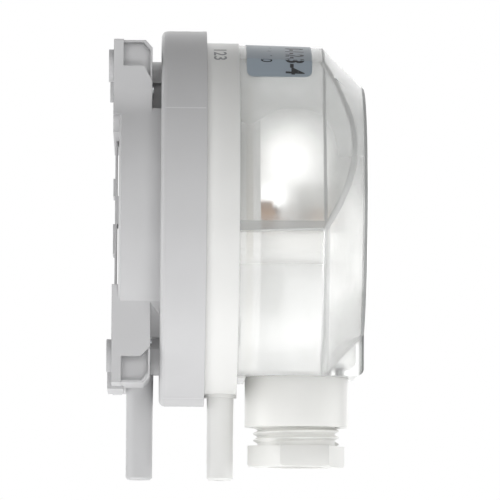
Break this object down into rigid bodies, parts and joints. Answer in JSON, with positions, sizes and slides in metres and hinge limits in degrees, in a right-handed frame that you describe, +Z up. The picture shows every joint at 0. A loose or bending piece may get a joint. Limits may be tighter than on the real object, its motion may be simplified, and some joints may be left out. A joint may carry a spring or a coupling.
{
  "type": "differential pressure switch",
  "caption": "Round air pressure switch with a grey rear housing and feet, a pale front ring, a clear cover, two hose tubes and a cable gland below.",
  "frame": {"origin": "on the housing axis, in the plane of the four rear bosses that meet the wall", "axes": "+X from the wall to the front of the clear cover, +Z up, the hose tubes and the gland point along -Z"},
  "size_m": [0.0588, 0.0852, 0.1019],
  "materials": {
    "grey_moulding": "moulded ABS, fine satin",
    "pale_moulding": "moulded ABS, satin",
    "white_moulding": "moulded polyamide, satin",
    "clear_cover": "moulded clear polycarbonate, slightly frosted inside",
    "silicone": "silicone, matte",
    "seal_rubber": "nitrile rubber, matte",
    "plate_alloy": "pressed sheet",
    "brass": "turned or stamped",
    "steel": "zinc plated",
    "spring_steel": "drawn wire",
    "label_film": "printed film, satin"
  },
  "bodies": {
    "housing": {"rear_housing": "grey_moulding", "front_housing": "pale_moulding", "housing_screws": "steel", "diaphragm": "silicone", "range_spring": "spring_steel", "dial_bridge": "white_moulding", "bridge_screws": "steel", "switch_carrier": "white_moulding", "lever_pin": "steel", "rest_contact": "brass", "work_contact": "brass", "common_strip": "brass", "terminal_block": "white_moulding", "terminal_clamps": "brass", "terminal_screws": "steel", "clear_cover": "clear_cover", "cover_gasket": "silicone", "range_label": "label_film", "gland_body": "white_moulding", "gland_seal": "seal_rubber", "gland_tie_screws": "steel"},
    "plunger_stack": {"rear_diaphragm_plate": "plate_alloy", "front_diaphragm_plate": "plate_alloy", "plunger": "white_moulding", "spring_seat": "brass"},
    "lever": {"contact_lever": "brass"},
    "dial": {"setting_dial": "white_moulding", "dial_spindle": "brass"},
    "nut": {"spring_nut": "brass"},
    "gland_carriage": {"gland_washer": "white_moulding"},
    "gland_turner": {"gland_screw": "white_moulding"}
  },
  "joints": [
    {"name": "plunger_travel", "type": "slide", "parent": "housing", "child": "plunger_stack", "axis": [1, 0, 0], "range_m": [0, 0.0005], "stiffness_N_per_m": 200, "springref_m": -0.002, "deforming": ["diaphragm", "range_spring"]},
    {"name": "lever_swing", "type": "hinge", "parent": "housing", "child": "lever", "pos_m": [0.0322, 0, 0.013], "axis": [0, -1, 0], "range_deg": [0, 3]},
    {"name": "dial_turn", "type": "hinge", "parent": "housing", "child": "dial", "pos_m": [0.0534, 0, 0], "axis": [-1, 0, 0], "range_deg": [-1, 271]},
    {"name": "nut_travel", "type": "slide", "parent": "housing", "child": "nut", "axis": [-1, 0, 0], "range_m": [0, 0.004], "deforming": ["range_spring"]},
    {"name": "gland_advance", "type": "slide", "parent": "housing", "child": "gland_carriage", "axis": [0, 0, 1], "range_m": [-0.00225, 0.002], "deforming": ["gland_seal"]},
    {"name": "gland_turn", "type": "hinge", "parent": "gland_carriage", "child": "gland_turner", "pos_m": [0.0429, 0, -0.05], "axis": [0, 0, 1], "range_deg": [-541, 481]}
  ],
  "couplings": [
    {"joint": "lever_swing", "follows": "plunger_travel", "rad_per_m": 91.743},
    {"joint": "dial_turn", "follows": "nut_travel", "rad_per_m": 1178.1},
    {"joint": "gland_turn", "follows": "gland_advance", "rad_per_m": 4188.8}
  ]
}
